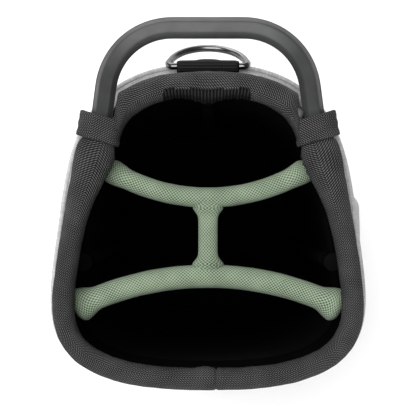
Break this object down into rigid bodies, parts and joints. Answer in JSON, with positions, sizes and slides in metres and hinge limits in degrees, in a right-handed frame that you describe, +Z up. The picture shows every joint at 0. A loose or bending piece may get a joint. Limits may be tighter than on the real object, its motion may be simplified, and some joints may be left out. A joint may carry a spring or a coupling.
{
  "type": "golf bag",
  "caption": "Upright golf carry bag with a padded, arch-handled top cuff, padded divider bars, hanging rings, zipped pockets and an open slip pocket.",
  "frame": {"origin": "middle of the flat underside of the base, on the floor", "axes": "+Z up to the open mouth, +Y towards the spine side with the carry handle, +X to the right when looking from the front pockets' side; -Y is the front"},
  "size_m": [0.3018, 0.3353, 0.9053],
  "materials": {
    "mesh_black": "knitted polyester spacer mesh, matte",
    "sage_mesh": "knitted spacer mesh, matte",
    "heather_grey": "light heather woven polyester",
    "moulded_black": "fine satin grain",
    "frame_black": "matte",
    "foam": "closed-cell foam",
    "gunmetal": "polished dark nickel",
    "steel": "plain zinc",
    "webbing_black": "ribbed woven webbing",
    "lining_black": "plain woven lining, matte",
    "rubber_black": "matte",
    "aluminium_tube": "satin",
    "zip_black": "coil zip tape",
    "sage_rubber": "soft-touch pull tab"
  },
  "bodies": {
    "bag": {"collar_frame": "frame_black", "divider_frame": "frame_black", "divider_sleeve_spine": "sage_mesh", "divider_sleeve_front": "sage_mesh", "divider_sleeve_post": "sage_mesh", "divider_rivets": "steel", "rim_foam": "foam", "rim_cover": "mesh_black", "collar_band": "heather_grey", "carry_handle": "moulded_black", "handle_screws": "steel", "handle_wrap_left": "mesh_black", "handle_wrap_right": "mesh_black", "ring_loop": "webbing_black", "front_panel": "heather_grey", "left_panel": "heather_grey", "right_panel": "heather_grey", "spine_panel": "heather_grey", "lining": "lining_black", "stay_left": "aluminium_tube", "stay_right": "aluminium_tube", "stay_spine": "aluminium_tube", "well_sheet_spine": "lining_black", "well_sheet_front": "lining_black", "well_sheet_centre": "lining_black", "base_tray": "moulded_black", "base_feet": "rubber_black", "base_pad": "foam", "slip_pocket": "heather_grey", "grab_strap": "webbing_black", "grab_grip": "foam", "grab_rivets": "steel", "lower_ring_loop": "webbing_black", "glove_patch": "mesh_black", "ball_pocket": "heather_grey", "ball_zip": "zip_black", "accessory_pocket": "heather_grey", "accessory_zip": "zip_black", "valuables_pocket": "heather_grey", "valuables_zip": "zip_black", "left_pocket": "heather_grey", "left_zip": "zip_black", "right_pocket": "heather_grey", "right_zip": "zip_black"},
    "d_ring": {"d_ring": "gunmetal"},
    "lower_d_ring": {"lower_d_ring": "gunmetal"},
    "ball_slider": {"ball_slider": "gunmetal"},
    "ball_pull": {"ball_pull": "sage_rubber"},
    "accessory_slider": {"accessory_slider": "gunmetal"},
    "accessory_pull": {"accessory_pull": "sage_rubber"},
    "valuables_slider": {"valuables_slider": "gunmetal"},
    "valuables_pull": {"valuables_pull": "sage_rubber"},
    "left_slider": {"left_slider": "gunmetal"},
    "left_pull": {"left_pull": "sage_rubber"},
    "right_slider": {"right_slider": "gunmetal"},
    "right_pull": {"right_pull": "sage_rubber"}
  },
  "joints": [
    {"name": "d_ring_hinge", "type": "hinge", "parent": "bag", "child": "d_ring", "pos_m": [0, 0.124, 0.856], "axis": [1, 0, 0], "range_deg": [0, 120]},
    {"name": "lower_d_ring_hinge", "type": "hinge", "parent": "bag", "child": "lower_d_ring", "pos_m": [0, 0.1214, 0.33], "axis": [1, 0, 0], "range_deg": [-5, 120]},
    {"name": "ball_slider_slide", "type": "slide", "parent": "bag", "child": "ball_slider", "axis": [-1, 0, 0], "range_m": [0, 0.103]},
    {"name": "ball_pull_hinge", "type": "hinge", "parent": "ball_slider", "child": "ball_pull", "pos_m": [0.0515, -0.1748, 0.283], "axis": [-1, 0, 0], "range_deg": [-5, 110]},
    {"name": "accessory_slider_slide", "type": "slide", "parent": "bag", "child": "accessory_slider", "axis": [-1, 0, 0], "range_m": [0, 0.071]},
    {"name": "accessory_pull_hinge", "type": "hinge", "parent": "accessory_slider", "child": "accessory_pull", "pos_m": [0.0355, -0.1478, 0.443], "axis": [-1, 0, 0], "range_deg": [-5, 110]},
    {"name": "valuables_slider_slide", "type": "slide", "parent": "bag", "child": "valuables_slider", "axis": [-1, 0, 0], "range_m": [0, 0.063]},
    {"name": "valuables_pull_hinge", "type": "hinge", "parent": "valuables_slider", "child": "valuables_pull", "pos_m": [0.0315, -0.1378, 0.583], "axis": [-1, 0, 0], "range_deg": [-5, 110]},
    {"name": "left_slider_slide", "type": "slide", "parent": "bag", "child": "left_slider", "axis": [0, 0, -1], "range_m": [0, 0.421]},
    {"name": "left_pull_hinge", "type": "hinge", "parent": "left_slider", "child": "left_pull", "pos_m": [-0.1458, -0.045, 0.5295], "axis": [0, 1, 0], "range_deg": [-5, 110]},
    {"name": "right_slider_slide", "type": "slide", "parent": "bag", "child": "right_slider", "axis": [0, 0, -1], "range_m": [0, 0.256]},
    {"name": "right_pull_hinge", "type": "hinge", "parent": "right_slider", "child": "right_pull", "pos_m": [0.1518, -0.045, 0.3645], "axis": [0, -1, 0], "range_deg": [-5, 110]}
  ]
}
